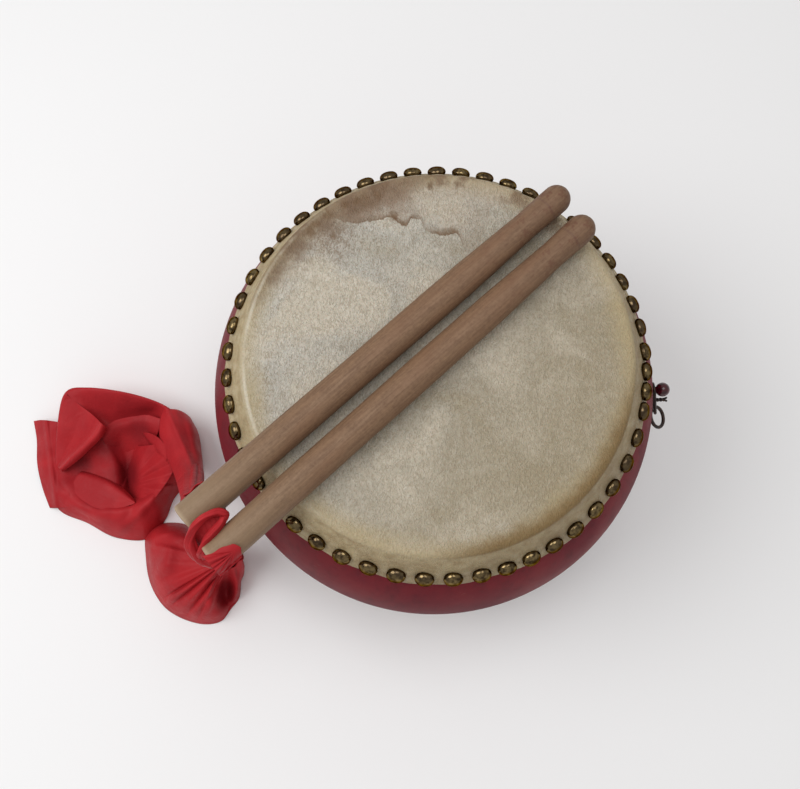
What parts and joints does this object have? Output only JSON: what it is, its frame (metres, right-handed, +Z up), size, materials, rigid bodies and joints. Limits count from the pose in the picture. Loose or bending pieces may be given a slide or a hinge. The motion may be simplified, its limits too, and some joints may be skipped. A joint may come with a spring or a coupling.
{
  "type": "waist drum with beaters",
  "caption": "Barrel drum with nailed hide heads and a side strap ring, with wooden beaters and red scarves laid on its upper head.",
  "frame": {"origin": "middle of the lower skin's underside, on the surface that the drum stands on", "axes": "+Z up along the drum's axis, +X towards the strap fitting, -Y towards the player's side"},
  "size_m": [0.4061, 0.2564, 0.2062],
  "materials": {
    "lacquer": "glossy dark red lacquer on wood, slightly worn",
    "skin": "matt stretched rawhide, grey-beige with yellowed edges and a brown water stain",
    "brass": "aged domed brass with bright tops",
    "wood": "bare turned wood, handled and scuffed",
    "cloth": "thin crumpled red fabric with a soft sheen",
    "iron": "dark iron wire",
    "knob": "glossy dark red paint"
  },
  "bodies": {
    "root": {"drum_shell": "lacquer", "head_top": "skin", "head_bottom": "skin", "nail_top_01": "brass", "nail_top_02": "brass", "nail_top_03": "brass", "nail_top_04": "brass", "nail_top_05": "brass", "nail_top_06": "brass", "nail_top_07": "brass", "nail_top_08": "brass", "nail_top_09": "brass", "nail_top_10": "brass", "nail_top_11": "brass", "nail_top_12": "brass", "nail_top_13": "brass", "nail_top_14": "brass", "nail_top_15": "brass", "nail_top_16": "brass", "nail_top_17": "brass", "nail_top_18": "brass", "nail_top_19": "brass", "nail_top_20": "brass", "nail_top_21": "brass", "nail_top_22": "brass", "nail_top_23": "brass", "nail_top_24": "brass", "nail_top_25": "brass", "nail_top_26": "brass", "nail_top_27": "brass", "nail_top_28": "brass", "nail_top_29": "brass", "nail_top_30": "brass", "nail_top_31": "brass", "nail_top_32": "brass", "nail_top_33": "brass", "nail_top_34": "brass", "nail_top_35": "brass", "nail_top_36": "brass", "nail_top_37": "brass", "nail_top_38": "brass", "nail_top_39": "brass", "nail_top_40": "brass", "nail_top_41": "brass", "nail_top_42": "brass", "nail_top_43": "brass", "nail_top_44": "brass", "nail_top_45": "brass", "nail_top_46": "brass", "nail_top_47": "brass", "nail_top_48": "brass", "nail_top_49": "brass", "nail_top_50": "brass", "stick_upper": "wood", "stick_lower": "wood", "scarf_upper": "cloth", "scarf_lower": "cloth", "strap_stud": "knob", "strap_eye": "iron", "strap_ring": "iron"}
  },
  "joints": []
}
